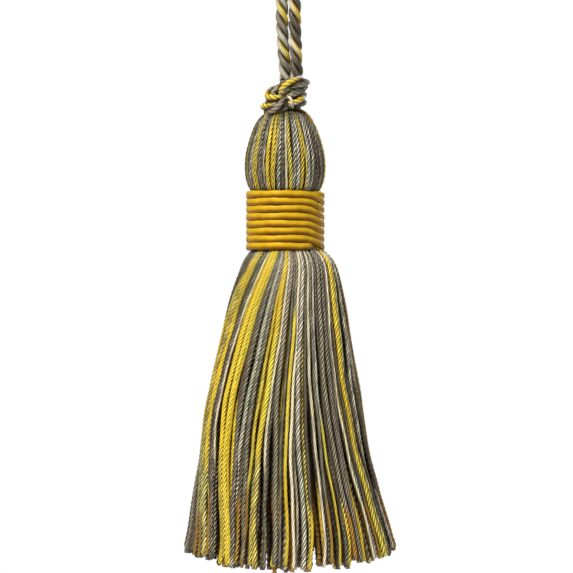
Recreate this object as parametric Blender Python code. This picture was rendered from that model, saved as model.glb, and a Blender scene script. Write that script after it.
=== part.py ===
"""A hanging key tassel: a skein of yarn with a round head and a skirt, a wound collar,
an overhand knot and a twisted cord loop.

Sizes below are in millimetres and are scaled to metres when a mesh is made. +Z is up,
the front faces -Y, and the origin is the inside top of the hanging loop.
"""

import math
import random

import bmesh
import bpy
from mathutils import Quaternion, Vector
from mathutils.geometry import delaunay_2d_cdt

MM = 0.001
SHARP_ANGLE = math.radians(50)
CURVE_SAMPLES = 24
MERGE_DISTANCE = 1e-6

# Cord of three plies laid together
CORD_RADIUS = 1.55
CORD_VALLEY_RADIUS = 1.15
CORD_PLIES = 3
CORD_LAY = 9.6
CORD_STEP = 1.07

# Route of the loop's centreline, from the knot up the left leg and down the right leg
CORD_ROUTE = [
    (-0.15, 0.95, -58.30),
    (-0.45, 0.85, -54.00),
    (-0.85, 0.55, -49.00),
    (-1.10, 0.25, -43.50),
    (-1.10, 0.05, -38.00),
    (-1.25, 0.00, -32.00),
    (-2.20, 0.00, -25.50),
    (-4.40, 0.00, -18.50),
    (-6.70, 0.00, -11.50),
    (-7.40, 0.00, -5.20),
    (-5.20, 0.00, -0.30),
    (0.00, 0.00, 1.55),
    (5.20, 0.00, -0.30),
    (7.60, 0.00, -5.20),
    (7.20, 0.00, -11.50),
    (5.30, 0.00, -18.50),
    (3.20, 0.00, -25.50),
    (2.25, 0.00, -32.00),
    (2.10, 0.00, -38.00),
    (2.10, -0.15, -43.50),
    (2.25, -0.50, -49.00),
    (2.45, -0.85, -54.00),
    (2.60, -0.95, -58.30),
]

# Passes of the doubled cord through its knot, each ending inside another pass
KNOT_SQUEEZE = 0.95
KNOT_PASSES = {
    "standing_left": [
        (-0.15, 0.95, -58.65),
        (-0.30, 0.80, -62.00),
        (-0.90, 0.30, -66.20),
    ],
    "standing_right": [
        (2.60, -0.95, -58.65),
        (1.90, -0.60, -62.00),
        (1.40, -0.10, -66.20),
    ],
    "upper_wrap": [
        (-2.20, 0.20, -61.80),
        (-3.10, 2.70, -61.60),
        (-1.00, 4.10, -60.80),
        (1.80, 4.10, -60.00),
        (4.00, 2.40, -59.50),
        (4.90, -0.20, -59.30),
        (4.10, -2.70, -59.20),
        (2.20, -3.90, -59.60),
        (0.20, -4.10, -60.40),
        (-1.30, -3.20, -61.60),
        (-2.00, -1.80, -62.80),
    ],
    "lower_wrap": [
        (-0.40, 2.40, -63.20),
        (1.40, 4.10, -62.60),
        (3.80, 2.90, -62.00),
        (4.90, 0.20, -61.70),
        (4.10, -2.60, -61.50),
        (2.10, -3.90, -61.90),
        (0.40, -3.80, -62.80),
        (-0.80, -2.60, -63.80),
    ],
    "upper_lobe": [
        (-0.40, -0.60, -59.90),
        (-2.20, -1.40, -60.20),
        (-3.90, -1.50, -61.30),
        (-4.30, -2.20, -62.60),
        (-3.30, -3.20, -63.30),
        (-1.60, -3.00, -63.60),
    ],
    "lower_lobe": [
        (1.30, -2.80, -62.90),
        (0.20, -4.20, -63.80),
        (-1.30, -4.70, -64.90),
        (-3.10, -4.20, -65.50),
        (-4.60, -2.40, -65.20),
        (-4.90, -0.20, -64.70),
        (-4.00, 2.30, -64.20),
        (-1.80, 3.90, -63.60),
        (0.80, 3.90, -63.10),
        (2.20, 2.30, -62.60),
    ],
    "right_lobe": [
        (0.20, -2.60, -64.10),
        (1.80, -3.60, -64.50),
        (3.40, -2.90, -64.10),
        (4.10, -0.60, -63.80),
        (3.60, 1.80, -63.90),
        (1.80, 3.20, -64.50),
        (-0.60, 3.00, -64.80),
        (-2.20, 1.60, -64.60),
    ],
}

# Head and neck of the skein: height, radius and height of the yarn ribs
HEAD_CROWN_Z = -66.55
HEAD_RIBS = 36
HEAD_SECTIONS = [
    (-66.60, 2.40, 0.10),
    (-66.95, 3.90, 0.20),
    (-67.75, 5.30, 0.28),
    (-69.00, 6.60, 0.32),
    (-71.00, 7.90, 0.32),
    (-74.50, 9.10, 0.32),
    (-77.30, 9.65, 0.32),
    (-80.00, 9.85, 0.32),
    (-82.50, 9.65, 0.32),
    (-84.50, 9.05, 0.28),
    (-85.60, 8.45, 0.20),
    (-86.10, 7.65, 0.00),
    (-100.90, 7.65, 0.00),
    (-101.20, 8.30, 0.00),
    (-101.50, 9.30, 0.00),
    (-101.90, 9.45, 0.00),
]

# Skirt rings, outermost first: yarns in the ring and depth of their cut ends
SKIRT_RINGS = [
    (46, 75.9),
    (46, 76.2),
    (30, 76.8),
    (30, 77.4),
    (20, 77.8),
    (10, 78.0),
]
# Depth below the neck, then the radius of each ring there
SKIRT_SECTIONS = [
    (0.0, 8.75, 7.40, 6.10, 4.80, 3.45, 1.90),
    (4.1, 11.10, 9.60, 8.00, 6.40, 4.60, 2.60),
    (18.0, 14.80, 13.30, 11.40, 9.20, 6.70, 3.80),
    (46.0, 20.30, 19.20, 16.80, 13.80, 10.20, 5.90),
    (76.0, 26.70, 26.20, 23.00, 19.20, 14.40, 8.40),
]
YARN_SIDE = 1.50
YARN_FILL = 0.83
YARN_SIDES = 3
CUT_SPREAD = 0.9
# Waves in how the yarns lean round the skirt: number of waves, radians, phase
LEAN_WAVES = [
    (2, 0.030, 0.6),
    (5, 0.018, 2.0),
]

# Collar of gimp cord wound round the neck
COLLAR_TURNS = 8
COLLAR_TOP_Z = -86.10
COLLAR_BOTTOM_Z = -100.80
COLLAR_BORE_RADIUS = 7.95
COLLAR_MIDDLE_RADIUS = 8.85
COLLAR_CREST_RADIUS = 9.72
COLLAR_VALLEY_RADIUS = 9.22
COLLAR_CREST_SHARE = 0.22
COLLAR_SEGMENTS = 36
COLLAR_DIP = 0.75
COLLAR_DIP_ANGLE = math.radians(-52)
COLLAR_DIP_WIDTH = math.radians(26)


def clear_scene():
    for old in list(bpy.data.objects):
        bpy.data.objects.remove(old, do_unlink=True)


def make_material(name, colour, roughness):
    material = bpy.data.materials.new(name)
    material.use_nodes = True
    shader = material.node_tree.nodes["Principled BSDF"]
    shader.inputs["Base Color"].default_value = (*colour, 1.0)
    shader.inputs["Roughness"].default_value = roughness
    shader.inputs["Metallic"].default_value = 0.0
    material.diffuse_color = (*colour, 1.0)
    return material


def add_object(name, bm, material):
    """Makes an object in metres from a bmesh in millimetres."""
    bmesh.ops.recalc_face_normals(bm, faces=bm.faces)
    bmesh.ops.scale(bm, vec=(MM, MM, MM), verts=bm.verts)
    mesh = bpy.data.meshes.new(name)
    bm.to_mesh(mesh)
    bm.free()
    mesh.materials.append(material)
    mesh.shade_smooth()
    mesh.set_sharp_from_angle(angle=SHARP_ANGLE)
    made = bpy.data.objects.new(name, mesh)
    bpy.context.scene.collection.objects.link(made)
    return made


def curve_point(points, t):
    """Point at t on a Catmull-Rom curve whose knots are the points."""
    i = min(int(t), len(points) - 2)
    u = t - i
    b = points[i]
    c = points[i + 1]
    a = points[i - 1] if i > 0 else 2 * b - c
    d = points[i + 2] if i + 2 < len(points) else 2 * c - b
    return 0.5 * (
        2 * b + (c - a) * u + (2 * a - 5 * b + 4 * c - d) * u**2 + (3 * b - a - 3 * c + d) * u**3
    )


def smooth_route(points, step):
    """Points at equal steps along a smooth curve through the given points."""
    knots = [Vector(p) for p in points]
    fine = [
        curve_point(knots, k / CURVE_SAMPLES)
        for k in range((len(knots) - 1) * CURVE_SAMPLES + 1)
    ]
    travelled = [0.0]
    for a, b in zip(fine, fine[1:]):
        travelled.append(travelled[-1] + (b - a).length)
    count = max(2, round(travelled[-1] / step))
    route = []
    k = 0
    for n in range(count + 1):
        target = travelled[-1] * n / count
        while k < len(fine) - 2 and travelled[k + 1] < target:
            k += 1
        span = travelled[k + 1] - travelled[k]
        route.append(fine[k].lerp(fine[k + 1], (target - travelled[k]) / span))
    return route


def route_frames(route):
    """The direction and a side vector at each point, turned as little as possible on the way."""
    ends = [route[0]] + route + [route[-1]]
    directions = [(c - a).normalized() for a, c in zip(ends, ends[2:])]
    side = directions[0].orthogonal().normalized()
    frames = [(directions[0], side)]
    for before, after in zip(directions, directions[1:]):
        side = before.rotation_difference(after) @ side
        side = (side - after * side.dot(after)).normalized()
        frames.append((after, side))
    return frames


def bridge_rings(bm, rings):
    for ring, after in zip(rings, rings[1:]):
        count = len(ring)
        for k in range(count):
            bm.faces.new((ring[k], ring[(k + 1) % count], after[(k + 1) % count], after[k]))


def laid_tube(points, radius, valley_radius):
    """A tube whose section has a crest for each ply, turning with the lay of the cord."""
    bm = bmesh.new()
    route = smooth_route(points, CORD_STEP)
    rings = []
    travelled = 0.0
    for n, (here, (direction, side)) in enumerate(zip(route, route_frames(route))):
        if n:
            travelled += (here - route[n - 1]).length
        ring = []
        for k in range(2 * CORD_PLIES):
            angle = math.pi * k / CORD_PLIES - math.tau * travelled / CORD_LAY
            out = Quaternion(direction, angle) @ side
            ring.append(bm.verts.new(here + out * (valley_radius if k % 2 else radius)))
        rings.append(ring)
    bridge_rings(bm, rings)
    bm.faces.new(rings[0][::-1])
    bm.faces.new(rings[-1])
    return bm


def add_hanging_cord(material):
    bm = laid_tube(CORD_ROUTE, CORD_RADIUS, CORD_VALLEY_RADIUS)
    return add_object("hanging_cord", bm, material)


def add_knot(material):
    """The knot's passes, joined where they press on each other."""
    knot = None
    for name, points in KNOT_PASSES.items():
        bm = laid_tube(points, CORD_RADIUS * KNOT_SQUEEZE, CORD_VALLEY_RADIUS * KNOT_SQUEEZE)
        one_pass = add_object("cord_knot" if knot is None else name, bm, material)
        if knot is None:
            knot = one_pass
            continue
        one_pass.hide_render = True
        one_pass.display_type = "WIRE"
        join = knot.modifiers.new(name, "BOOLEAN")
        join.operation = "UNION"
        join.solver = "EXACT"
        join.object = one_pass
    return knot


def collar_dip(angle):
    """How far the turns sink at this angle, where each one passes down to the next."""
    apart = math.remainder(angle - COLLAR_DIP_ANGLE, math.tau)
    return COLLAR_DIP * math.exp(-((apart / COLLAR_DIP_WIDTH) ** 2))


def collar_section():
    """Radius, height and share of the dip for each point round the collar's section."""
    pitch = (COLLAR_TOP_Z - COLLAR_BOTTOM_Z) / COLLAR_TURNS
    inset = pitch / 2
    section = [
        (COLLAR_BORE_RADIUS, COLLAR_TOP_Z - inset, 0.0),
        (COLLAR_MIDDLE_RADIUS, COLLAR_TOP_Z, 0.0),
    ]
    for turn in range(COLLAR_TURNS):
        z = COLLAR_TOP_Z - turn * pitch
        dip = 0.0 if turn in (0, COLLAR_TURNS - 1) else 1.0
        for side in (-1, 1):
            crest = z - pitch * (0.5 + side * COLLAR_CREST_SHARE)
            section.append((COLLAR_CREST_RADIUS, crest, dip))
        if turn < COLLAR_TURNS - 1:
            section.append((COLLAR_VALLEY_RADIUS, z - pitch, 1.0))
    section.append((COLLAR_MIDDLE_RADIUS, COLLAR_BOTTOM_Z, 0.0))
    section.append((COLLAR_BORE_RADIUS, COLLAR_BOTTOM_Z + inset, 0.0))
    return section


def add_collar(material):
    bm = bmesh.new()
    section = collar_section()
    rings = []
    for k in range(COLLAR_SEGMENTS):
        angle = math.tau * k / COLLAR_SEGMENTS
        dip = collar_dip(angle)
        rings.append(
            [
                bm.verts.new((r * math.cos(angle), r * math.sin(angle), z - dip * share))
                for r, z, share in section
            ]
        )
    bridge_rings(bm, rings + [rings[0]])
    return add_object("collar_winding", bm, material)


def head_ring(bm, z, radius, rib):
    """A ring with a crest and a valley for each yarn of the head."""
    ring = []
    for k in range(2 * HEAD_RIBS):
        angle = math.pi * k / HEAD_RIBS
        r = radius - rib if k % 2 else radius + rib
        ring.append(bm.verts.new((r * math.cos(angle), r * math.sin(angle), z)))
    return ring


def skirt_lean(angle):
    """How far round the cut end of a yarn swings from its root, in radians."""
    return sum(size * math.sin(waves * angle + phase) for waves, size, phase in LEAN_WAVES)


def yarn_side(count, radius):
    return min(YARN_SIDE, YARN_FILL * math.tau * radius / count)


def yarn_section(x, y, z, side):
    """Three corners round a yarn's centre, one pointing out from the tassel's axis."""
    outward = math.atan2(y, x)
    reach = side / math.sqrt(3)
    return [
        Vector(
            (
                x + reach * math.cos(outward + math.tau * k / YARN_SIDES),
                y + reach * math.sin(outward + math.tau * k / YARN_SIDES),
                z,
            )
        )
        for k in range(YARN_SIDES)
    ]


def yarn_sections(ring_number, n, dice):
    """The sections of one skirt yarn from its root to its cut end."""
    count, cut_depth = SKIRT_RINGS[ring_number]
    cut_depth += dice.uniform(-CUT_SPREAD, CUT_SPREAD)
    root_angle = math.tau * (n + 0.5 * (ring_number % 2)) / count
    top = HEAD_SECTIONS[-1][0]
    full_depth = SKIRT_SECTIONS[-1][0]
    sections = []
    for row in SKIRT_SECTIONS:
        share = row[0] / full_depth
        radius = row[1 + ring_number]
        angle = root_angle + skirt_lean(root_angle) * share**2
        x = radius * math.cos(angle)
        y = radius * math.sin(angle)
        z = top - share * cut_depth
        sections.append(yarn_section(x, y, z, yarn_side(count, radius)))
    return sections


def skirt_yarns():
    dice = random.Random(11)
    return [
        yarn_sections(ring_number, n, dice)
        for ring_number, (count, _) in enumerate(SKIRT_RINGS)
        for n in range(count)
    ]


def add_neck_floor(bm, rim, yarns):
    """Fills the neck's underside round the yarns' roots, and returns the root corners."""
    flat = [v.co.xy for v in rim]
    roots = []
    for sections in yarns:
        roots.append(list(range(len(flat), len(flat) + YARN_SIDES)))
        flat.extend(corner.xy for corner in sections[0])
    edges = [(k, (k + 1) % len(rim)) for k in range(len(rim))]
    _, _, faces, _, _, sources = delaunay_2d_cdt(flat, edges, roots, 0, MERGE_DISTANCE)
    z = rim[0].co.z
    corners = list(rim) + [bm.verts.new((p.x, p.y, z)) for p in flat[len(rim) :]]
    for face, source in zip(faces, sources):
        if not source:
            bm.faces.new([corners[k] for k in face])
    return [[corners[k] for k in root] for root in roots]


def add_skein(material):
    """Head, neck and skirt as one skein, its yarns fused only at the neck."""
    bm = bmesh.new()
    rings = [head_ring(bm, *row) for row in HEAD_SECTIONS]
    crown = bm.verts.new((0.0, 0.0, HEAD_CROWN_Z))
    for a, b in zip(rings[0], rings[0][1:] + rings[0][:1]):
        bm.faces.new((crown, a, b))
    bridge_rings(bm, rings)
    yarns = skirt_yarns()
    for root, sections in zip(add_neck_floor(bm, rings[-1], yarns), yarns):
        strand = [root] + [[bm.verts.new(p) for p in row] for row in sections[1:]]
        bridge_rings(bm, strand)
        bm.faces.new(strand[-1])
    return add_object("yarn_skein", bm, material)


def main():
    clear_scene()
    yarn = make_material("rayon_yarn", (0.33, 0.29, 0.17), 0.55)
    gimp = make_material("gimp_cord", (0.60, 0.36, 0.02), 0.38)
    cord = make_material("twisted_cord", (0.26, 0.24, 0.17), 0.55)
    add_skein(yarn)
    add_collar(gimp)
    add_knot(cord)
    add_hanging_cord(cord)


main()
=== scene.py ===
"""Looks of the key tassel: spun yarns over the skein, a wound collar, the knot and the cord.

Shapes are worked out in millimetres and scaled to metres when a mesh is made. The front
faces -Y. An azimuth of 0 is the front, and it grows towards +X.
"""

import math
import random

import bpy
import numpy as np
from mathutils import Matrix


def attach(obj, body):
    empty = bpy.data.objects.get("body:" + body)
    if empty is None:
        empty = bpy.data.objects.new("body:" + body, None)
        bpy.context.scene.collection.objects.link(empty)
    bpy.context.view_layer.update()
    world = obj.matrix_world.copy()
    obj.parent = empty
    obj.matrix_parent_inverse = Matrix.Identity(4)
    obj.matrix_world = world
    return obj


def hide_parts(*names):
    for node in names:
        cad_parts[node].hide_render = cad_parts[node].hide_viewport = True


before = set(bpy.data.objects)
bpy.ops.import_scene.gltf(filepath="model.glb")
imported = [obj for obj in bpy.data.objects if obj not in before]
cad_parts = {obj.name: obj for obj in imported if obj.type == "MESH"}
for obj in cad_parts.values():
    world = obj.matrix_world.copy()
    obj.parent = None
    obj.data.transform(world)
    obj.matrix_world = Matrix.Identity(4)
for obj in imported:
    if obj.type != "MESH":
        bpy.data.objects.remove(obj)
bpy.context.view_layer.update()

MM = 0.001
BODY = "root"
# Points of a curve between two of its given points, and the step of smoothed profiles
CURVE_POINTS = 24
PROFILE_STEP = 0.2

# Camera and picture, level with the middle of the photographed height
CAMERA_DISTANCE = 700.0
CAMERA_HEIGHT = -110.1
PICTURE_WIDTH = 143.25
SENSOR = 36.0

# Strength of the dome of light, below and above
DOME_BELOW = 0.05
DOME_ABOVE = 0.42
# Soft lights: name, place and size in metres, and watts. All face one point of the tassel
LIGHTS = [
    ("key_light", (-0.42, -0.62, 0.70), 0.26, 18.4),
    ("side_light", (0.8, -0.5, 0.1), 0.5, 1.6),
    ("back_light", (0.30, 0.90, 0.35), 0.5, 8.0),
]
LIGHTS_AIM = (0.0, 0.0, -0.11)
# Round floor, in metres
FLOOR_RADIUS = 1.0
FLOOR_HEIGHT = -0.30
FLOOR_SIDES = 96

# Dyes as sRGB values: yellow, gold, pale yellow, taupe, dark, silver, cream and olive. The gold is
# painted shade: it stands for yellow yarn in the shade between yarns. A yarn wanders between the two
# tones of its dye
DYES = {
    "Y": ((220, 182, 16), (228, 204, 56)),
    "O": ((164, 114, 12), (152, 118, 28)),
    "P": ((214, 190, 88), (202, 194, 122)),
    "G": ((146, 131, 113), (132, 127, 100)),
    "D": ((88, 74, 54), (78, 73, 50)),
    "S": ((204, 194, 176), (192, 192, 166)),
    "C": ((232, 216, 182), (222, 214, 170)),
    "V": ((168, 144, 36), (150, 144, 72)),
}
# Yarns with one dye on the upper side of each strand and another on its lower side: partly two-tone
# yarns, partly a painted highlight on the upper side and painted shade on the lower side
MIXED_AND_SIDE_LIT_YARNS = {"T": "SD", "V": "YV", "P": "PV", "G": "GD", "S": "SG"}
# In the light yarns the painted shade in the grooves between strands is this many times as bright
GROOVE_TONES = {"Y": 4.0, "C": 3.0, "P": 3.0, "V": 3.0, "O": 3.0}

# A yarn's section has three corners for each strand: two on its crest, each this share of the strand's
# room from the middle, and one in the groove
STRAND_CORNERS = 3
CREST_HALF_WIDTH = 0.15
# Least and greatest brightness of a strand. Yellow yarns are more even
STRAND_TONES = (0.55, 1.38)
YELLOW_TONES = (0.80, 1.16)
# Least and greatest brightness of a yarn, and of places along it
YARN_TONES = (0.88, 1.08)
LENGTH_TONES = (0.92, 1.08)
# Waves in the tone along a yarn: least and greatest radians in its length, and size
TONE_WAVES = [((3, 7), 0.3), ((9, 16), 0.2)]

# Charts of yarns read from the left edge of the front to the right. A small letter is a thin yarn,
# which takes this share of the room of another
THIN_SHARE = 0.6
HEAD_FRONT = "GVDdSsVvGgsYYvTDcVTTVvSTDDGGDV"
OUTER_FRONT = "PPVPYYdGcvYYydGSGvYcGgycSdcgsdGGgcdYPdSDTODg"
SECOND_FRONT = "DDGGPGGYPYSOPGDYCPDDYYSYVCDGOD"
# How often each dye is drawn for the yarns that aren't charted
LOTS = {"G": 6, "D": 5, "Y": 4, "S": 2, "V": 2, "P": 1, "C": 1, "T": 2}
INNER_LOTS = {"G": 5, "D": 6, "Y": 3, "O": 6, "S": 1, "V": 1}

# Head: heights and outline radii of the yarns' crests
HEAD_PROFILE = [
    (-66.30, 2.50),
    (-66.65, 4.10),
    (-67.45, 5.60),
    (-68.70, 6.80),
    (-71.00, 8.05),
    (-74.50, 9.20),
    (-77.30, 9.85),
    (-80.00, 10.05),
    (-82.50, 9.90),
    (-84.50, 9.40),
    (-85.60, 8.85),
    (-86.90, 8.00),
]
HEAD_SEED = 5
# Yarns round the head, a thin one counted by its share
HEAD_YARNS = 54.5
HEAD_STEP = 0.55
HEAD_PITCH = 6.4
# Share of the dye's brightness, and how many times as deep the grooves are
HEAD_DEPTH = 0.88
HEAD_GROOVE = 1.3
# Radius of a yarn as a share of its room, and the power by which it narrows with the head
HEAD_FILL = 0.54
HEAD_NARROWING = 0.75
# A thin yarn's twist as a share of the others'
HEAD_THIN_TWIST = 0.3
# Ranges of a yarn's sway in radians, of the half waves in it, and of how far out it stands
HEAD_SWAY = (-0.05, 0.05)
HEAD_SWAY_WAVES = (1, 2)
HEAD_LIFT = (-0.20, 0.12)
# Below the knot the head is in deep shade, painted into the yarns' dye: height and share of light
HEAD_SHADE = [
    (-90.0, 0.95),
    (-73.0, 1.0),
    (-70.0, 0.80),
    (-68.3, 0.50),
    (-67.0, 0.28),
    (-66.0, 0.20),
]
# The head and collar stand a little left of the loop
HEAD_SHIFT = np.array((-0.3, 0.0, 0.0))

# Packed yarns inside the head and neck: their dye, dark as painted shade for the gaps between the
# head's yarns, how much lower and further in than the crests, and their least radius, then heights
# and radii below the head
CORE_SHADED_DYE = (62, 50, 30)
CORE_DROP = 0.3
CORE_INSET = 1.1
CORE_LEAST_RADIUS = 0.3
CORE_BELOW = [
    (-88.0, 7.4),
    (-100.0, 7.4),
    (-102.0, 6.6),
    (-106.0, 5.5),
    (-112.0, 0.4),
]
CORE_STEP = 0.8
CORE_TWIST = 0.02

# Loose yarns over the head's shoulders and the pale strand in the knot: dye, radius and route
LOOSE_SEED = 8
LOOSE_YARNS = [
    (
        "O",
        0.42,
        [
            (1.2, -1.2, -65.3),
            (2.6, -1.4, -65.9),
            (3.9, -1.7, -66.4),
            (5.0, -2.0, -67.2),
            (6.1, -2.4, -68.6),
            (6.3, -2.4, -70.0),
        ],
    ),
    (
        "P",
        0.42,
        [
            (-3.6, -3.0, -66.0),
            (-4.7, -3.5, -67.1),
            (-5.5, -3.8, -68.6),
            (-6.3, -4.0, -70.6),
            (-7.0, -4.4, -73.2),
        ],
    ),
    (
        "C",
        0.36,
        [
            (-0.5, -3.6, -62.3),
            (0.4, -4.8, -62.8),
            (1.2, -5.2, -63.7),
            (1.5, -5.1, -64.6),
            (1.4, -4.2, -65.8),
        ],
    ),
]

# Skirt: depth below the collar and radius of the outer yarns' centres
SKIRT_TOP_Z = -100.80
SKIRT_PROFILE = [
    (-1.6, 7.20),
    (0.1, 8.25),
    (1.4, 9.60),
    (4.2, 11.35),
    (11.0, 13.40),
    (17.7, 14.95),
    (24.0, 16.15),
    (33.0, 17.85),
    (41.0, 19.30),
    (53.7, 21.25),
    (65.7, 23.60),
    (77.5, 26.50),
]
# Depth below the collar, and how far right of the loop the skirt hangs there
SKIRT_DRIFT = [
    (-2, 0.0),
    (4, 0.6),
    (12, 0.3),
    (22, 0.0),
    (38, -0.6),
    (50, -0.5),
    (60, 0.0),
    (70, 0.7),
    (78, 0.8),
]
# The spread yarns at the sides end higher than those in front
SIDE_RISE = 2.3
SKIRT_SEED = 20
YARN_RADIUS = 0.67
INNER_RADIUS = 0.78
# A thin yarn's radius as a share of the others
THIN_RADIUS = 0.62
YARN_PITCH = 6.0
YARN_STEP = 0.70
INNER_PITCH = 3.0
INNER_STEP = 0.60
# A pale yarn's pitch against the others', and ranges of each yarn's thickness and pitch
PALE_PITCH = 1.4
THICKNESS_SPREAD = (0.9, 1.12)
PITCH_SPREAD = (0.88, 1.15)
# Rings from the outside in: name, charted front, yarns in all with a thin one counted by its share,
# share of the outer radius at root and hem, length, and share of the dye's brightness, which falls
# towards the middle as painted shade
RINGS = [
    ("outer_yarns", OUTER_FRONT, 72, 1.00, 1.00, 77.2, 0.95),
    ("second_yarns", SECOND_FRONT, 60, 0.90, 0.97, 77.7, 0.90),
    ("third_yarns", "", 62, 0.79, 0.92, 78.0, 0.82),
    ("fourth_yarns", "", 50, 0.64, 0.82, 78.2, 0.72),
    ("fifth_yarns", "", 36, 0.46, 0.66, 78.4, 0.60),
    ("middle_yarns", "", 18, 0.24, 0.44, 78.6, 0.50),
]
# Light between the inner yarns is warm
INNER_HUE = np.array((1.04, 0.94, 0.66))
# Outer yarns whose dye changes on the way down: place in the chart, dyes and the depth where each ends
CHANGING = {
    0: [("G", 17), ("Y", 38), ("D", 90)],
    1: [("G", 10), ("P", 42), ("G", 90)],
    2: [("D", 7), ("V", 48), ("P", 66), ("O", 90)],
    3: [("S", 4), ("P", 66), ("O", 90)],
    4: [("Y", 10), ("P", 26), ("Y", 54), ("P", 90)],
    5: [("V", 16), ("Y", 60), ("O", 90)],
    8: [("c", 58), ("v", 90)],
    10: [("Y", 50), ("V", 90)],
    13: [("d", 60), ("y", 90)],
    17: [("v", 58), ("o", 90)],
    18: [("V", 6), ("Y", 52), ("P", 90)],
    19: [("c", 54), ("g", 90)],
    22: [("g", 16), ("y", 90)],
    25: [("d", 64), ("y", 90)],
    27: [("g", 62), ("o", 90)],
    28: [("s", 42), ("v", 90)],
    30: [("G", 64), ("O", 90)],
    34: [("d", 62), ("o", 90)],
    35: [("Y", 56), ("V", 90)],
}
# Yarns of the inner rings in the gold that stands for yellow in painted shade, dark above the hem
INNER_SHADED_GOLD = [("D", 61), ("O", 90)]
CHANGE_LENGTH = 5.0
# How much longer or shorter a yarn may be cut
CUT_SPREAD = (-1.1, 0.7)
# Outer rings whose yarns are made of five strands, and columns that a piece's map has to spare
FINE_RINGS = 2
SPARE_COLUMNS = 6
# At its root a yarn is drawn in: distance from the root and share of its radius
ROOT_END = [(0.0, 0.72), (5.0, 0.80), (24.0, 1.0)]
# Towards its cut end a yarn swells and its strands part: distance from the end, radius and groove
CUT_END = [(0.0, 0.84, 2.2), (0.7, 1.10, 1.9), (2.1, 1.06, 1.3), (4.0, 1.0, 1.0)]
# Painted shade on the sides turned inwards: how much, and the cosines at which that starts and is full
NO_SHADOW = (0.0, 1.0, -1.0)
YARN_SHADOW = (0.92, 0.86, 0.05)
HEAD_SHADOW = (0.94, 0.88, 0.20)
PLY_SHADOW = (0.92, 0.90, 0.20)
YELLOW_SHADOW = (0.82, 0.60, -0.35)
# Painted shadows between yarns keep more red than blue, and none takes more than this share of the light
SHADOW_HUE = np.array((0.94, 1.0, 1.08))
DARKEST = 0.99
# Sway of a hanging yarn, in degrees round the skirt and in millimetres in and out
SWAY_DEGREES = 1.7
SWAY_DEPTH = 0.42
# Waves in the sway: least and greatest radians in the skirt's depth, and size
SWAY_WAVES = [((3, 8), 0.75), ((18, 34), 0.25)]
# Least and greatest share of the sway round the skirt, and how far out a yarn hangs
SWAY_SHARE = (0.3, 1.0)
HANG_OUT = (-0.35, 0.05)
# Share of the depth from which yarns hang free, their stray in radians, and the power of its growth
FREE_FROM = 0.25
STRAY = 0.030
STRAY_POWER = 1.3
# Lean of the yarns: azimuth a quarter of the way down, and degrees from it at each of the depths
LEAN_DEPTHS = [0.0, 0.26, 0.50, 1.0]
LEAN = [
    (-180, 12, 0, 0, 0),
    (-110, 14, 0, 0, 8),
    (-66, 20, 0, -3, 15),
    (-40, 23, 0, -6, 3),
    (-22, 15, 0, -7, -6),
    (-10, 8, 0, -6.5, -12),
    (5, 6, 0, -3, -8),
    (25, 7, 0, 2, 2),
    (54, 11, 0, 1, 8),
    (110, 12, 0, 0, 0),
    (180, 12, 0, 0, 0),
]
# Inner yarns lean and gather less
INNER_LEAN = 0.3
INNER_CLUMP = 0.5
# Waves that gather the hanging yarns into clumps: number round the skirt, radians and phase
CLUMPS = [(11, 0.020, 2.1), (19, 0.018, 4.4), (31, 0.012, 1.2)]
# Power by which the clumps gather, and how far those of each ring are turned from the next one out
CLUMP_POWER = 1.6
CLUMP_TURN = 2.2

# Collar: one gimp cord wound down in level turns that each step down at the right
GIMP_RADIUS = 0.92
# Depth of the gimp cord as a share of its height, and how square its section is
GIMP_THICKNESS = 0.66
GIMP_SQUARENESS = 3.0
# The gimp's own gold, and the brown of the shade painted on the lower side of each turn
GIMP_GOLD = (184, 145, 16)
GIMP_SHADE_BROWN = (116, 64, 0)
GIMP_TURNS = 8
GIMP_PITCH = 1.8375
GIMP_TOP_Z = -86.35
GIMP_CENTRE_RADIUS = 9.20
GIMP_STEP_AT = math.radians(58)
GIMP_STEP_WIDTH = math.radians(64)
# The ends are tucked in, at the step: how deep, over what width, and azimuths
GIMP_TUCK = 1.5
GIMP_TUCK_WIDTH = math.radians(20)
GIMP_START = math.radians(44)
GIMP_END = math.radians(57)
GIMP_POINTS = 900
# Waves along the gimp cord: how fast each runs against the azimuth, and its size
GIMP_WOBBLE = [(2.7, 0.05), (6.3, 0.05), (17.1, 0.03)]
GIMP_TONE_WAVES = [(9.7, 0.06), (23.1, 0.05)]
GIMP_SWELL = [(4.3, 0.03)]
# Painted shade down a turn's face, from -1 at its upper edge to 1 at its lower one: where the
# brown shade and then the darker shade of the groove start, and over what width they come in
GIMP_SHADE_FROM = -0.32
GIMP_SHADE_WIDTH = 0.90
GIMP_GROOVE_SHADE_FROM = 0.45
GIMP_GROOVE_SHADE_WIDTH = 0.4
# How dark the painted shade of the groove is, and the share of the brown and groove shade that is
# left at the collar's sides
GIMP_GROOVE_SHADE = 0.5
GIMP_SIDE_SHADE_SHARE = 0.45

# Twisted cord: three plies, each of four strands
CORD_LAY = 9.6
PLY_OFFSET = 0.78
PLY_RADIUS = 0.84
# Swelling along a ply: share of its radius, radians in a millimetre and radians between plies
PLY_SWELL = 0.05
PLY_SWELL_RATE = 2.3
PLY_SWELL_TURN = 2.1
PLY_PITCH = 1.9
KNOT_PLY_PITCH = 4.4
# Lengths in which the two dyes of a ply change places and back, and how sharply they meet
DYE_PITCH = 10.0
KNOT_DYE_PITCH = 7.0
DYE_EDGE = 0.9
# Plies: two dyes, and for the cord the turn at which they start
CORD_PLIES = [("C", "Y", 0.0), ("S", "D", 0.9), ("G", "D", 2.6)]
KNOT_PLIES = [("S", "Y"), ("S", "D"), ("G", "D")]
# Share of the dyes' brightness in the cord and in the knot
CORD_DEPTH = 0.84
KNOT_DEPTH = 0.84
CORD_STEP = 0.20

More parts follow.
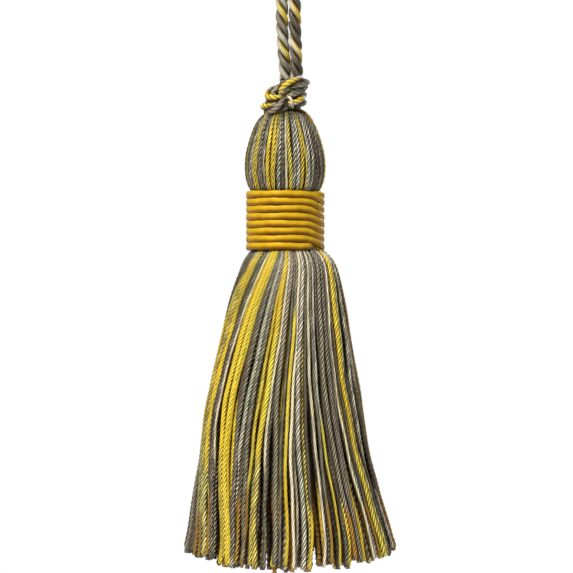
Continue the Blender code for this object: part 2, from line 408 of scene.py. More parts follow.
# Route of the loop, from the knot up the left leg and down the right leg
CORD_ROUTE = [
    (-0.15, 0.95, -58.30),
    (-0.45, 0.85, -54.00),
    (-0.85, 0.55, -49.00),
    (-1.10, 0.25, -43.50),
    (-1.10, 0.05, -38.00),
    (-1.25, 0.00, -32.00),
    (-2.20, 0.00, -25.50),
    (-4.40, 0.00, -18.50),
    (-6.70, 0.00, -11.50),
    (-7.40, 0.00, -5.20),
    (-5.20, 0.00, -0.30),
    (0.00, 0.00, 1.55),
    (5.20, 0.00, -0.30),
    (7.60, 0.00, -5.20),
    (7.20, 0.00, -11.50),
    (5.30, 0.00, -18.50),
    (3.20, 0.00, -25.50),
    (2.25, 0.00, -32.00),
    (2.10, 0.00, -38.00),
    (2.10, -0.15, -43.50),
    (2.25, -0.50, -49.00),
    (2.45, -0.85, -54.00),
    (2.60, -0.95, -58.30),
]

# Lay of the cord in its knot, and the direction from which the knot is seen
KNOT_LAY = 18.0
KNOT_FRONT = np.array((0.0, -1.0, 0.25))
# Passes of the doubled cord through its knot: how far along, and which ply faces the front there
# with its second dye
KNOT_PASSES = [
    (0.5, 2, [(-0.15, 0.95, -58.65), (-0.30, 0.80, -62.00), (-0.90, 0.30, -66.20)]),
    (0.5, 2, [(2.60, -0.95, -58.65), (1.90, -0.60, -62.00), (1.40, -0.10, -66.20)]),
    (
        0.86,
        0,
        [
            (-2.20, 0.20, -61.80),
            (-3.10, 2.70, -61.60),
            (-1.00, 4.10, -60.80),
            (1.80, 4.10, -60.00),
            (3.60, 2.40, -59.60),
            (4.35, -0.20, -59.40),
            (3.75, -2.65, -59.30),
            (2.20, -3.90, -59.50),
            (0.50, -4.20, -59.90),
            (-0.70, -3.50, -60.60),
            (-1.30, -1.80, -61.60),
        ],
    ),
    (
        0.66,
        2,
        [
            (-0.40, 2.40, -63.20),
            (1.40, 4.10, -62.60),
            (3.00, 2.90, -62.00),
            (3.60, 0.20, -61.80),
            (3.25, -2.50, -61.60),
            (2.10, -3.90, -61.80),
            (0.50, -3.90, -62.20),
            (-0.70, -2.60, -62.80),
        ],
    ),
    (
        0.78,
        0,
        [
            (-0.40, -0.60, -60.60),
            (-2.10, -1.40, -61.00),
            (-3.55, -1.50, -61.90),
            (-4.00, -2.20, -63.00),
            (-3.20, -3.20, -63.60),
            (-1.60, -3.00, -63.80),
        ],
    ),
    (
        0.38,
        0,
        [
            (-0.40, -2.00, -63.40),
            (-0.70, -3.80, -64.40),
            (-1.70, -4.60, -65.40),
            (-3.10, -4.20, -66.10),
            (-4.60, -2.40, -65.90),
            (-4.90, -0.20, -65.20),
            (-4.00, 2.30, -64.20),
            (-1.80, 3.90, -63.60),
            (0.80, 3.90, -63.10),
            (2.20, 2.30, -62.60),
        ],
    ),
    (
        0.24,
        0,
        [
            (0.20, -2.60, -64.20),
            (1.80, -3.60, -64.30),
            (3.10, -2.90, -63.90),
            (3.60, -0.60, -63.70),
            (3.20, 1.80, -63.90),
            (1.80, 3.20, -64.50),
            (-0.60, 3.00, -64.80),
            (-2.20, 1.60, -64.60),
        ],
    ),
]

# Streaks along the fibres: detail of the noise, least and greatest brightness, change of the
# roughness, strength and depth in metres of their relief
STREAK_DETAIL = 3.0
STREAK_TONES = (0.72, 1.22)
STREAK_GLOSS = (-0.08, 0.12)
RELIEF_STRENGTH = 0.5
RELIEF_DEPTH = 0.00006
SHEEN_ROUGHNESS = 0.4


def linear(srgb):
    """Linear colour from sRGB values of 0 to 255."""
    c = np.asarray(srgb, float) / 255
    return np.where(c <= 0.04045, c / 12.92, ((c + 0.055) / 1.055) ** 2.4)


def unit(v):
    return v / np.maximum(np.linalg.norm(v, axis=-1, keepdims=True), 1e-12)


def smoothstep(x):
    x = np.clip(x, 0.0, 1.0)
    return x * x * (3 - 2 * x)


def curve_through(points, step):
    """Points at equal steps along a Catmull-Rom curve through the given points."""
    p = np.array(points, float)
    p = np.vstack([2 * p[0] - p[1], p, 2 * p[-1] - p[-2]])
    u = np.linspace(0, 1, CURVE_POINTS, endpoint=False)[:, None]
    fine = [
        0.5 * (2 * b + (c - a) * u + (2 * a - 5 * b + 4 * c - d) * u**2 + (3 * b - a - 3 * c + d) * u**3)
        for a, b, c, d in zip(p, p[1:], p[2:], p[3:])
    ]
    fine = np.vstack(fine + [p[-2:-1]])
    travelled = np.concatenate([[0], np.cumsum(np.linalg.norm(np.diff(fine, axis=0), axis=1))])
    count = max(3, round(travelled[-1] / step))
    at = np.linspace(0, travelled[-1], count + 1)
    return np.stack([np.interp(at, travelled, fine[:, k]) for k in range(3)], 1)


def smooth_profile(rows, at):
    """Value at each place on a smooth curve through rows of place and value."""
    rows = np.array(rows, float)
    fine = curve_through(np.column_stack([rows, np.zeros(len(rows))]), PROFILE_STEP)
    order = np.argsort(fine[:, 0])
    return np.interp(at, fine[order, 0], fine[order, 1])


def length_along(path):
    return np.concatenate([[0], np.cumsum(np.linalg.norm(np.diff(path, axis=0), axis=1))])


def directions(path):
    return unit(np.gradient(path, axis=0))


def square_to(direction, side):
    return unit(side - direction * (side * direction).sum(-1, keepdims=True))


def carried_sides(path):
    """A side vector at each point of a path, turned as little as possible on the way."""
    along = directions(path)
    start = np.cross(along[0], (0.0, 1.0, 0.0))
    if np.linalg.norm(start) < 0.1:
        start = np.cross(along[0], (1.0, 0.0, 0.0))
    sides = [unit(start)]
    for direction in along[1:]:
        side = sides[-1]
        sides.append(unit(side - direction * side.dot(direction)))
    return np.array(sides)


def inward(facing, first, full):
    """How far a side is turned inwards: 0 down to the first cosine and 1 from the full one."""
    return smoothstep((first - np.cos(facing)) / (first - full))


class Threads:
    """Collects tubes into one mesh, each tube with a column of its own on the map."""

    # Share of its column's width that a tube fills
    COLUMN_FILL = 0.92

    def __init__(self, columns):
        self.columns = columns
        self.made = 0
        self.size = 0
        self.points = []
        self.faces = []
        self.tints = []
        self.atlas = []
        self.fibres = []

    def tube(self, path, sides, radius, section, turn, tint, shadow=NO_SHADOW, groove=1.0):
        """A tube along path. section has an angle, a reach and a painted shade for each of its corners,
        and radius, turn and tint have a value for each point of the path. sides point outwards,
        shadow is painted shade that darkens what is turned away from them, and groove deepens the
        grooves. Each face's first corner is the one that splits it along the twist."""
        along = directions(path)
        sides = square_to(along, sides)
        other = np.cross(along, sides)
        angle = section[:, 0][None] + turn[:, None]
        reach = (1 - (1 - section[:, 1][None]) * np.reshape(groove, (-1, 1))) * radius[:, None]
        points = (
            path[:, None]
            + sides[:, None] * (np.cos(angle) * reach)[..., None]
            + other[:, None] * (np.sin(angle) * reach)[..., None]
        )
        rings, corners = points.shape[:2]
        # Painted shade on the sides turned inwards, times the painted shade of the section's corners
        painted_shade = np.minimum(shadow[0] * SHADOW_HUE, DARKEST) * inward(angle, *shadow[1:])[..., None]
        tints = tint.reshape(rings, -1, 3) * section[:, 2][None, :, None] * (1 - painted_shade)
        i, k = np.meshgrid(np.arange(rings - 1), np.arange(corners), indexing="ij")
        after = (k + 1) % corners
        quads = np.stack(
            [i * corners + after, (i + 1) * corners + after, (i + 1) * corners + k, i * corners + k], -1
        ).reshape(-1, 4)
        low = np.arange(corners)[::-1]
        high = (rings - 1) * corners + np.arange(corners)
        self.faces.append((self.size + quads, self.size + low, self.size + high))
        travelled = length_along(path)
        v = travelled / travelled[-1]
        u0 = self.made / self.columns
        width = self.COLUMN_FILL / self.columns
        corner_u = np.stack([k + 1, k + 1, k, k], -1).reshape(-1, 4) / corners
        corner_v = v[np.stack([i, i + 1, i + 1, i], -1).reshape(-1, 4)]
        atlas = np.stack([u0 + width * corner_u, corner_v], -1).reshape(-1, 2)
        fibres = np.stack([corner_u * math.tau * radius.mean(), corner_v * travelled[-1]], -1)
        cap_u = np.concatenate([low, np.arange(corners)]) / corners
        cap_v = np.concatenate([np.zeros(corners), np.ones(corners)])
        cap_atlas = np.stack([u0 + width * cap_u, cap_v], -1)
        self.atlas.append((atlas, cap_atlas[:corners], cap_atlas[corners:]))
        blank = np.zeros((corners, 2))
        self.fibres.append((fibres.reshape(-1, 2), blank, blank))
        self.points.append(points.reshape(-1, 3))
        self.tints.append(tints.reshape(-1, 3))
        self.size += rings * corners
        self.made += 1

    def piece(self, name, material):
        mesh = bpy.data.meshes.new(name)
        faces = []
        atlas = []
        fibres = []
        for (quads, low, high), maps, threads in zip(self.faces, self.atlas, self.fibres):
            faces.extend(quads.tolist())
            faces.append(low.tolist())
            faces.append(high.tolist())
            atlas.extend(maps)
            fibres.extend(threads)
        mesh.from_pydata((np.vstack(self.points) * MM).tolist(), [], faces)
        for map_name, places in (("OFBake", atlas), ("fibres", fibres)):
            layer = mesh.uv_layers.new(name=map_name)
            layer.uv.foreach_set("vector", np.vstack(places).astype(np.float32).ravel())
        tints = np.vstack(self.tints)
        dye = mesh.color_attributes.new("dye", "FLOAT_COLOR", "POINT")
        dye.data.foreach_set("color", np.column_stack([tints, np.ones(len(tints))]).ravel())
        mesh.shade_smooth()
        mesh.materials.append(material)
        made = bpy.data.objects.new(name, mesh)
        bpy.context.scene.collection.objects.link(made)
        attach(made, BODY)
        return made


def lobed_section(lobes, groove_depth, groove_light, painted_side_light=0.0):
    """Rounded crests and narrow grooves, in three corners a lobe. groove_depth is a share of the
    radius, groove_light is the share of light that reaches the grooves, as painted shade, and the
    last argument is how much lighter the upper side of each crest is, as a painted highlight, and
    how much darker its lower side, as painted shade."""
    rows = []
    for lobe in range(lobes):
        middle = math.tau * lobe / lobes
        spread = math.tau / lobes * CREST_HALF_WIDTH
        # Painted highlight on the crest's upper side, painted shade on its lower side and in the groove
        rows.append((middle - spread, 1.0, 1.0 - painted_side_light))
        rows.append((middle + spread, 1.0, 1.0 + painted_side_light))
        rows.append((middle + math.pi / lobes, 1.0 - groove_depth, groove_light))
    return np.array(rows)


def pressed_section(corners, thickness, squareness):
    """A flattened round: thickness is its depth as a share of its height."""
    rows = []
    for corner in range(corners):
        angle = math.tau * corner / corners
        deep = abs(math.cos(angle)) / thickness
        high = abs(math.sin(angle))
        rows.append((angle, (deep**squareness + high**squareness) ** (-1 / squareness), 1.0))
    return np.array(rows)


YARN_SECTION = lobed_section(lobes=5, groove_depth=0.38, groove_light=0.05, painted_side_light=0.20)
INNER_SECTION = lobed_section(lobes=2, groove_depth=0.25, groove_light=0.35)
PLY_SECTION = lobed_section(lobes=4, groove_depth=0.18, groove_light=0.25)
CORE_SECTION = lobed_section(lobes=40, groove_depth=0.06, groove_light=0.4)
GIMP_SECTION = pressed_section(corners=20, thickness=GIMP_THICKNESS, squareness=GIMP_SQUARENESS)


def around(azimuth, radius, z):
    """Points from azimuth, radius and height."""
    azimuth, radius, z = np.broadcast_arrays(azimuth, radius, z)
    return np.stack([radius * np.sin(azimuth), -radius * np.cos(azimuth), z], -1)


def outward(azimuth):
    return around(azimuth, 1.0, 0.0)


def whole_chart(front, yarns, lots, dice):
    """The front as charted, then yarns drawn by lot round the back."""
    charted = sum(THIN_SHARE if letter.islower() else 1.0 for letter in front)
    drawn = dice.choices(list(lots), list(lots.values()), k=round(yarns - charted))
    return front + "".join(drawn)


def laid_round(chart):
    """Letter, middle azimuth and share of the round of each yarn, from the left edge of the front."""
    widths = [THIN_SHARE if letter.islower() else 1.0 for letter in chart]
    total = sum(widths)
    done = 0.0
    rows = []
    for letter, width in zip(chart, widths):
        azimuth = -math.pi / 2 + math.tau * (done + width / 2) / total
        rows.append((letter, azimuth, width / total))
        done += width
    return rows


def uneven_wave(at, waves, dice):
    """Sum of waves at each place, each with its radians and its phase drawn by lot."""
    total = 0.0
    for radians, size in waves:
        total = total + size * np.sin(at * dice.uniform(*radians) + dice.uniform(0, math.tau))
    return total


def wander(count, dice):
    """A slow uneven wave between 0 and 1 along a yarn."""
    return smoothstep(0.5 + uneven_wave(np.linspace(0, 1, count), TONE_WAVES, dice))


def toned(dye, mix):
    """The dye where mix is the share of its second tone."""
    first, second = DYES[dye]
    return linear(first) * (1 - mix)[..., None] + linear(second) * mix[..., None]


def dyed(letter, count, section, dice, depth=1.0):
    """Dye at each corner along a yarn: the lower side, the upper side and the groove of each strand."""
    # The upper and lower sides: two dyes in two-tone yarns, painted highlight and shade in others
    upper, lower = MIXED_AND_SIDE_LIT_YARNS.get(letter.upper(), letter.upper() * 2)
    mix = wander(count, dice)
    groove = toned(lower, mix) * GROOVE_TONES.get(upper, 1.0)
    strand = np.stack([toned(lower, mix), toned(upper, mix), groove], 1)
    tones = YELLOW_TONES if upper in "YO" else STRAND_TONES
    strands = [strand * dice.uniform(*tones) for _ in range(len(section) // STRAND_CORNERS)]
    least, most = LENGTH_TONES
    deeper = depth * dice.uniform(*YARN_TONES) * (least + (most - least) * wander(count, dice))
    return np.concatenate(strands, 1) * deeper[:, None, None]


def head_shade(z):
    """Painted shade: share of the dye's brightness at each height of the head, for each corner and colour."""
    heights, shares = zip(*HEAD_SHADE)
    return np.interp(z, heights, shares)[:, None, None]


def add_head(material):
    """Yarns side by side over the head, from under the knot down into the collar."""
    dice = random.Random(HEAD_SEED)
    chart = whole_chart(HEAD_FRONT, HEAD_YARNS, LOTS, dice)
    threads = Threads(len(chart))
    profile = curve_through([(r, 0.0, z) for z, r in HEAD_PROFILE], HEAD_STEP)
    count = len(profile)
    widest = profile[:, 0].max()
    for letter, azimuth, share in laid_round(chart):
        crowd = (profile[:, 0] / widest) ** HEAD_NARROWING
        radius = HEAD_FILL * math.tau * widest * share * crowd
        sway = dice.uniform(*HEAD_SWAY)
        sway = sway * np.sin(np.linspace(0, math.pi * dice.uniform(*HEAD_SWAY_WAVES), count))
        lift = dice.uniform(*HEAD_LIFT)
        path = around(azimuth + sway, profile[:, 0] - radius + lift, profile[:, 2]) + HEAD_SHIFT
        turn = math.tau * length_along(path) / HEAD_PITCH + dice.uniform(0, math.tau)
        if letter.islower():
            turn = turn * HEAD_THIN_TWIST
        tint = dyed(letter, count, YARN_SECTION, dice, HEAD_DEPTH) * head_shade(path[:, 2])
        sides = outward(azimuth + sway)
        threads.tube(path, sides, radius, YARN_SECTION, turn, tint, HEAD_SHADOW, HEAD_GROOVE)
    return threads.piece("head_yarns", material)


def add_loose_yarns(material):
    dice = random.Random(LOOSE_SEED)
    threads = Threads(len(LOOSE_YARNS))
    for letter, radius, points in LOOSE_YARNS:
        path = curve_through(points, HEAD_STEP)
        turn = math.tau * length_along(path) / HEAD_PITCH
        tint = dyed(letter, len(path), YARN_SECTION, dice, HEAD_DEPTH)
        threads.tube(path, carried_sides(path), np.full(len(path), radius), YARN_SECTION, turn, tint)
    return threads.piece("loose_yarns", material)


def lean_along(azimuth, share):
    """How far a yarn stands from its azimuth at each share of the skirt's depth."""
    at = math.degrees(math.remainder(azimuth, math.tau))
    columns = np.array(LEAN, float).T
    degrees = [np.interp(at, columns[0], column) for column in columns[1:]]
    return np.radians(np.polyval(np.polyfit(LEAN_DEPTHS, degrees, len(LEAN_DEPTHS) - 1), share))


def skirt_path(azimuth, root_share, hem_share, length, clump_turn, fine, dice):
    """Route of a skirt yarn, whose azimuth is the one it has a quarter of the way down."""
    step = YARN_STEP if fine else INNER_STEP
    lean = 1.0 if fine else INNER_LEAN
    start = SKIRT_PROFILE[0][0]
    depth = np.linspace(start, length, int((length - start) / step))
    share = np.clip(depth / SKIRT_PROFILE[-1][0], 0.0, 1.0)
    clump = sum(size * math.sin(number * azimuth + phase + clump_turn) for number, size, phase in CLUMPS)
    clump = clump * (1.0 if fine else INNER_CLUMP)
    late = np.clip((share - FREE_FROM) / (1 - FREE_FROM), 0.0, None)
    stray = dice.gauss(0, STRAY) * late**STRAY_POWER
    free = np.minimum(share / FREE_FROM, 1.0)
    sway = math.radians(SWAY_DEGREES) * dice.uniform(*SWAY_SHARE)
    sway = sway * uneven_wave(share, SWAY_WAVES, dice) * free
    turned = azimuth + lean * lean_along(azimuth, share) + clump * late**CLUMP_POWER + stray + sway
    radius = smooth_profile(SKIRT_PROFILE, depth) * (root_share + (hem_share - root_share) * share)
    out = dice.uniform(*HANG_OUT)
    radius = radius + (out + SWAY_DEPTH * uneven_wave(share, SWAY_WAVES, dice)) * free
    path = around(turned, radius, SKIRT_TOP_Z - depth)
    path[:, 0] += smooth_profile(SKIRT_DRIFT, depth)
    return path, turned


def dyed_in_stages(stages, path, section, dice, depth):
    """Dye along a yarn that changes at the depths where its stages end."""
    at = SKIRT_TOP_Z - path[:, 2]
    tint = dyed(stages[-1][0], len(path), section, dice, depth)
    for letter, end in reversed(stages[:-1]):
        share = smoothstep((end - at) / CHANGE_LENGTH + 0.5)[:, None, None]
        tint = dyed(letter, len(path), section, dice, depth) * share + tint * (1 - share)
    return tint


def skirt_yarn(threads, letter, stages, path, turned, fine, depth, dice):
    """One hanging yarn, drawn in at its root and parted at its cut end."""
    section = YARN_SECTION if fine else INNER_SECTION
    shadow = YELLOW_SHADOW if letter in "Yy" else YARN_SHADOW
    travelled = length_along(path)
    thin = THIN_RADIUS if letter.islower() or letter == "C" else 1.0
    from_root, shares = zip(*ROOT_END)
    end, swells, grooves = zip(*CUT_END)
    swell = np.interp(travelled[-1] - travelled, end, swells)
    groove = np.interp(travelled[-1] - travelled, end, grooves)
    drawn_in = np.interp(travelled, from_root, shares)
    thick = (YARN_RADIUS if fine else INNER_RADIUS) * thin
    radius = thick * drawn_in * swell * dice.uniform(*THICKNESS_SPREAD)
    pitch = (YARN_PITCH if fine else INNER_PITCH) * dice.uniform(*PITCH_SPREAD)
    pitch = pitch * (PALE_PITCH if letter in "Cc" else 1.0)
    turn = math.tau * travelled / pitch + dice.uniform(0, math.tau)
    # The inner rings' lower share of the dye is painted shade, and their warm hue painted warm light
    tint = dyed_in_stages(stages, path, section, dice, depth) * (1.0 if fine else INNER_HUE)
    threads.tube(path, outward(turned), radius, section, turn, tint, shadow, groove)


def add_skirt_ring(name, front, yarns, root, hem, length, depth, place, material):
    """One ring of hanging yarns, in a front and a back piece. place counts the rings inwards."""
    dice = random.Random(SKIRT_SEED + place)
    fine = place < FINE_RINGS
    chart = whole_chart(front, yarns, LOTS if fine else INNER_LOTS, dice)
    columns = len(chart) // 2 + SPARE_COLUMNS
    halves = {"front": Threads(columns), "back": Threads(columns)}
    changing = CHANGING if front == OUTER_FRONT else {}
    for number, (letter, azimuth, _) in enumerate(laid_round(chart)):
        stages = changing.get(number, [(letter, 0.0)])
        if letter == "O" and place > 0:
            stages = INNER_SHADED_GOLD
        cut = length - SIDE_RISE * math.sin(azimuth) ** 2 + dice.uniform(*CUT_SPREAD)
        path, turned = skirt_path(azimuth, root, hem, cut, CLUMP_TURN * place, fine, dice)
        half = "front" if azimuth < math.pi / 2 else "back"
        skirt_yarn(halves[half], letter, stages, path, turned, fine, depth, dice)
    return [threads.piece(f"{name}_{half}", material) for half, threads in halves.items()]


def add_skirt(material):
    pieces = []
    for place, ring in enumerate(RINGS):
        pieces += add_skirt_ring(*ring, place, material)
    return pieces


def add_core(material):
    """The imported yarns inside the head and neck, seen only in the grooves."""
    rows = [(z - CORE_DROP, max(r - CORE_INSET, CORE_LEAST_RADIUS)) for z, r in HEAD_PROFILE]
    rows += CORE_BELOW
    depth = np.arange(-rows[0][0], -rows[-1][0], CORE_STEP)
    radius = np.interp(depth, [-z for z, _ in rows], [r for _, r in rows])
    path = around(0.0, 0.0, -depth) + HEAD_SHIFT
    threads = Threads(1)
    # Dark dye as painted shade, seen in the gaps between the head's yarns
    tint = np.ones((len(path), 3)) * linear(CORE_SHADED_DYE)
    sides = np.tile((0.0, -1.0, 0.0), (len(path), 1))
    threads.tube(path, sides, radius, CORE_SECTION, path[:, 2] * CORE_TWIST, tint)
    return threads.piece("packed_yarns", material)


def waves_along(at, waves):
    """Sum of waves at each place, from rows of how fast a wave runs and its size."""
    return sum(size * np.sin(at * number) for number, size in waves)


def gimp_path():
    """Centreline of the winding, with both ends tucked in at the step."""
    total = math.tau * GIMP_TURNS + GIMP_END - GIMP_START
    azimuth = GIMP_START + np.linspace(0, total, GIMP_POINTS)
    steps = np.zeros_like(azimuth)
    for turn in range(1, GIMP_TURNS):
        centre = GIMP_STEP_AT + math.tau * turn
        steps += smoothstep((azimuth - centre) / GIMP_STEP_WIDTH + 0.5)
    z = GIMP_TOP_Z - GIMP_PITCH * (0.5 + steps) + waves_along(azimuth, GIMP_WOBBLE)
    begun = smoothstep((azimuth - azimuth[0]) / GIMP_TUCK_WIDTH)
    ended = smoothstep((azimuth[-1] - azimuth) / GIMP_TUCK_WIDTH)
    radius = GIMP_CENTRE_RADIUS - GIMP_TUCK * (2 - begun - ended)
    return around(azimuth, radius, z) + HEAD_SHIFT, azimuth


def add_collar(material):
    threads = Threads(1)
    path, azimuth = gimp_path()
    # Painted shade: each turn goes brown and then darker towards its lower edge, less so at the sides
    down = np.sin(GIMP_SECTION[:, 0])
    middle = GIMP_SIDE_SHADE_SHARE + (1 - GIMP_SIDE_SHADE_SHARE) * np.abs(np.cos(azimuth))[:, None]
    lower_shade = (middle * smoothstep((down - GIMP_SHADE_FROM) / GIMP_SHADE_WIDTH))[..., None]
    painted_shade = (middle * smoothstep((down - GIMP_GROOVE_SHADE_FROM) / GIMP_GROOVE_SHADE_WIDTH))[..., None]
    tint = linear(GIMP_GOLD) * (1 - lower_shade) + linear(GIMP_SHADE_BROWN) * lower_shade
    tone = 1 + waves_along(azimuth, GIMP_TONE_WAVES)
    tint = tint * (1 - GIMP_GROOVE_SHADE * painted_shade) * tone[:, None, None]
    radius = GIMP_RADIUS * (1 + waves_along(azimuth, GIMP_SWELL))
    threads.tube(path, outward(azimuth), radius, GIMP_SECTION, np.zeros(len(path)), tint)
    return threads.piece("collar_gimp", material)


def ply_tint(facing, first, second):
    """Dye of a ply that shows its first dye where it faces one way and its second elsewhere."""
    share = smoothstep(0.5 + DYE_EDGE * np.cos(facing))[..., None]
    tone = 0.5 + 0.5 * np.sin(facing)
    return toned(first, tone) * share + toned(second, tone) * (1 - share)


def add_plies(threads, axis, sides, start_turn, lay_length, plies, pitch, dye_pitch, depth):
    """Three plies laid round an axis, with their strands twisted the other way. Each row of plies
    has its two dyes and the turn at which they start."""
    other = np.cross(directions(axis), sides)
    travelled = length_along(axis)
    for number, (first, second, dye_turn) in enumerate(plies):
        lay = start_turn - math.tau * travelled / lay_length + math.tau * number / len(plies)
        out = sides * np.cos(lay)[:, None] + other * np.sin(lay)[:, None]
        path = axis + out * PLY_OFFSET
        turn = math.tau * length_along(path) / pitch
        facing = PLY_SECTION[:, 0][None] + turn[:, None]
        dyes_turned = dye_turn - math.tau * travelled / dye_pitch
        tint = ply_tint(facing + dyes_turned[:, None], first, second) * depth
        radius = PLY_RADIUS * (1 + PLY_SWELL * np.sin(travelled * PLY_SWELL_RATE + number * PLY_SWELL_TURN))
        threads.tube(path, out, radius, PLY_SECTION, turn, tint, PLY_SHADOW)


def add_cord(material):
    axis = curve_through(CORD_ROUTE, CORD_STEP)
    threads = Threads(len(CORD_PLIES))
    add_plies(threads, axis, carried_sides(axis), 0.0, CORD_LAY, CORD_PLIES, PLY_PITCH, DYE_PITCH, CORD_DEPTH)
    cord = threads.piece("twisted_cord", material)
    return cord


def add_knot(material):
    """The knot's passes, each turned so that the chosen ply faces the front at the chosen place."""
    threads = Threads(len(CORD_PLIES) * len(KNOT_PASSES))
    for share, ply, points in KNOT_PASSES:
        axis = curve_through(points, CORD_STEP)
        sides = carried_sides(axis)
        at = int(share * (len(axis) - 1))
        other = np.cross(directions(axis)[at], sides[at])
        wanted = math.atan2(KNOT_FRONT.dot(other), KNOT_FRONT.dot(sides[at]))
        reached = length_along(axis)[at]
        start_turn = wanted + math.tau * reached / KNOT_LAY - math.tau * ply / len(KNOT_PLIES)
        dye_turn = math.pi + math.tau * reached / KNOT_DYE_PITCH
        plies = [(first, second, dye_turn) for first, second in KNOT_PLIES]
        pitches = (KNOT_PLY_PITCH, KNOT_DYE_PITCH)
        add_plies(threads, axis, sides, start_turn, KNOT_LAY, plies, *pitches, KNOT_DEPTH)
    return threads.piece("knot_passes", material)


def new_material(name):
    material = bpy.data.materials.new(name)
    material.use_nodes = True
    nodes = material.node_tree.nodes
    return material, nodes, material.node_tree.links, nodes["Principled BSDF"]


def streaks(nodes, links, scale, stretch):
    """Noise drawn out along the fibres."""
    place = nodes.new("ShaderNodeUVMap")
    place.uv_map = "fibres"
    mapping = nodes.new("ShaderNodeMapping")
    mapping.inputs["Scale"].default_value = (scale, scale / stretch, 1.0)
    noise = nodes.new("ShaderNodeTexNoise")
    noise.inputs["Scale"].default_value = 1.0
    noise.inputs["Detail"].default_value = STREAK_DETAIL
    links.new(place.outputs["UV"], mapping.inputs["Vector"])
    links.new(mapping.outputs["Vector"], noise.inputs["Vector"])
    return noise.outputs["Fac"]


def yarn_material(name, roughness, sheen, scale, stretch, gloss_share, gloss_tint):
    """Dyed, silky fibres: the dye with fine streaks in colour, gloss and relief."""
    material, nodes, links, shader = new_material(name)
    dye = nodes.new("ShaderNodeAttribute")
    dye.attribute_name = "dye"
    streak = streaks(nodes, links, scale, stretch)
    depth = nodes.new("ShaderNodeMapRange")
    depth.inputs["To Min"].default_value = STREAK_TONES[0]
    depth.inputs["To Max"].default_value = STREAK_TONES[1]
    links.new(streak, depth.inputs["Value"])
    tinted = nodes.new("ShaderNodeVectorMath")
    tinted.operation = "SCALE"
    links.new(dye.outputs["Color"], tinted.inputs[0])
    links.new(depth.outputs["Result"], tinted.inputs["Scale"])
    links.new(tinted.outputs["Vector"], shader.inputs["Base Color"])
    gloss = nodes.new("ShaderNodeMapRange")
    gloss.inputs["To Min"].default_value = roughness + STREAK_GLOSS[0]
    gloss.inputs["To Max"].default_value = roughness + STREAK_GLOSS[1]
    links.new(streak, gloss.inputs["Value"])
    links.new(gloss.outputs["Result"], shader.inputs["Roughness"])
    bump = nodes.new("ShaderNodeBump")
    bump.inputs["Strength"].default_value = RELIEF_STRENGTH
    bump.inputs["Distance"].default_value = RELIEF_DEPTH
    links.new(streak, bump.inputs["Height"])
    links.new(bump.outputs["Normal"], shader.inputs["Normal"])
    shader.inputs["Specular IOR Level"].default_value = gloss_share
    shader.inputs["Specular Tint"].default_value = (*gloss_tint, 1.0)
    shader.inputs["Sheen Weight"].default_value = sheen
    shader.inputs["Sheen Roughness"].default_value = SHEEN_ROUGHNESS
    return material


def floor_material():
    material, nodes, links, shader = new_material("pale_floor")
    noise = nodes.new("ShaderNodeTexNoise")
    noise.inputs["Scale"].default_value = 6.0
    ramp = nodes.new("ShaderNodeValToRGB")
    ramp.color_ramp.elements[0].color = (0.88, 0.88, 0.87, 1)
    ramp.color_ramp.elements[1].color = (0.93, 0.93, 0.92, 1)
    links.new(noise.outputs["Fac"], ramp.inputs["Fac"])
    links.new(ramp.outputs["Color"], shader.inputs["Base Color"])
    shader.inputs["Roughness"].default_value = 0.9
    return material


def add_floor():
    """A round pale floor well below the hem, out of the level camera's sight."""
    corners = [math.tau * k / FLOOR_SIDES for k in range(FLOOR_SIDES)]
    points = [(FLOOR_RADIUS * math.cos(a), FLOOR_RADIUS * math.sin(a), FLOOR_HEIGHT) for a in corners]
    mesh = bpy.data.meshes.new("studio_floor")
    mesh.from_pydata(points, [], [tuple(range(FLOOR_SIDES))])
    mesh.materials.append(floor_material())
    floor = bpy.data.objects.new("studio_floor", mesh)
    bpy.context.scene.collection.objects.link(floor)


def add_camera():
    scene = bpy.context.scene
    data = bpy.data.cameras.new("camera")
    data.sensor_width = SENSOR
    data.lens = SENSOR * CAMERA_DISTANCE / PICTURE_WIDTH
    data.clip_start = 0.01
    camera = bpy.data.objects.new("camera", data)
    camera.location = (0.0, -CAMERA_DISTANCE * MM, CAMERA_HEIGHT * MM)
    camera.rotation_euler = (math.pi / 2, 0.0, 0.0)
    scene.collection.objects.link(camera)
    scene.camera = camera


def add_soft_light(name, place, size, power):
    """A square soft light that faces the tassel."""
    data = bpy.data.lights.new(name, "AREA")
    data.size = size
    data.energy = power
    light = bpy.data.objects.new(name, data)
    light.location = place
    aim = np.array(LIGHTS_AIM) - np.array(place)
    light.rotation_euler = (
        math.atan2(math.hypot(aim[0], aim[1]), -aim[2]),
        0.0,
        math.atan2(aim[1], aim[0]) - math.pi / 2,
    )
    bpy.context.scene.collection.objects.link(light)


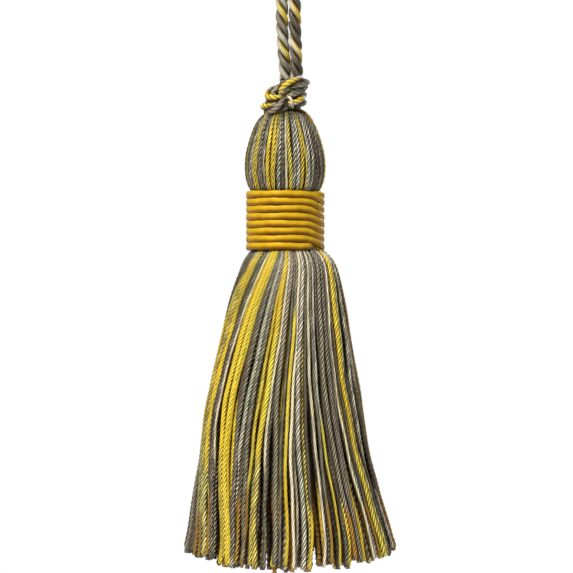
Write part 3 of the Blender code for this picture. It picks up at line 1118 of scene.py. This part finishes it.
def add_world():
    """White to the camera. As light it is a dim dome, brighter above than below."""
    world = bpy.data.worlds.new("studio")
    world.use_nodes = True
    nodes = world.node_tree.nodes
    links = world.node_tree.links
    nodes.clear()
    out = nodes.new("ShaderNodeOutputWorld")
    mix = nodes.new("ShaderNodeMixShader")
    ray = nodes.new("ShaderNodeLightPath")
    place = nodes.new("ShaderNodeTexCoord")
    parts = nodes.new("ShaderNodeSeparateXYZ")
    height = nodes.new("ShaderNodeMapRange")
    height.inputs["From Min"].default_value = -1.0
    height.inputs["To Min"].default_value = DOME_BELOW
    height.inputs["To Max"].default_value = DOME_ABOVE
    fill = nodes.new("ShaderNodeBackground")
    shown = nodes.new("ShaderNodeBackground")
    for background in (fill, shown):
        background.inputs["Color"].default_value = (1.0, 1.0, 1.0, 1.0)
    links.new(place.outputs["Generated"], parts.inputs["Vector"])
    links.new(parts.outputs["Z"], height.inputs["Value"])
    links.new(height.outputs["Result"], fill.inputs["Strength"])
    links.new(ray.outputs["Is Camera Ray"], mix.inputs["Fac"])
    links.new(fill.outputs["Background"], mix.inputs[1])
    links.new(shown.outputs["Background"], mix.inputs[2])
    links.new(mix.outputs["Shader"], out.inputs["Surface"])
    bpy.context.scene.world = world


def add_studio():
    scene = bpy.context.scene
    scene.view_settings.view_transform = "Standard"
    scene.view_settings.look = "None"
    add_camera()
    add_world()
    for light in LIGHTS:
        add_soft_light(*light)
    add_floor()


def main():
    add_studio()
    yarn = yarn_material(
        "spun_rayon",
        roughness=0.40,
        sheen=0.04,
        scale=26.0,
        stretch=14.0,
        gloss_share=0.5,
        gloss_tint=(1.0, 0.93, 0.78),
    )
    gimp = yarn_material(
        "satin_gimp",
        roughness=0.36,
        sheen=0.0,
        scale=8.0,
        stretch=0.5,
        gloss_share=0.3,
        gloss_tint=(1.0, 0.76, 0.30),
    )
    cord = add_cord(yarn)
    knot = add_knot(yarn)
    collar = add_collar(gimp)
    skirt = add_skirt(yarn)
    loose = add_loose_yarns(yarn)
    head = add_head(yarn)
    core = add_core(yarn)
    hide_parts("hanging_cord")
    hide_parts("cord_knot")
    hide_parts("collar_winding")
    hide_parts("yarn_skein")


main()
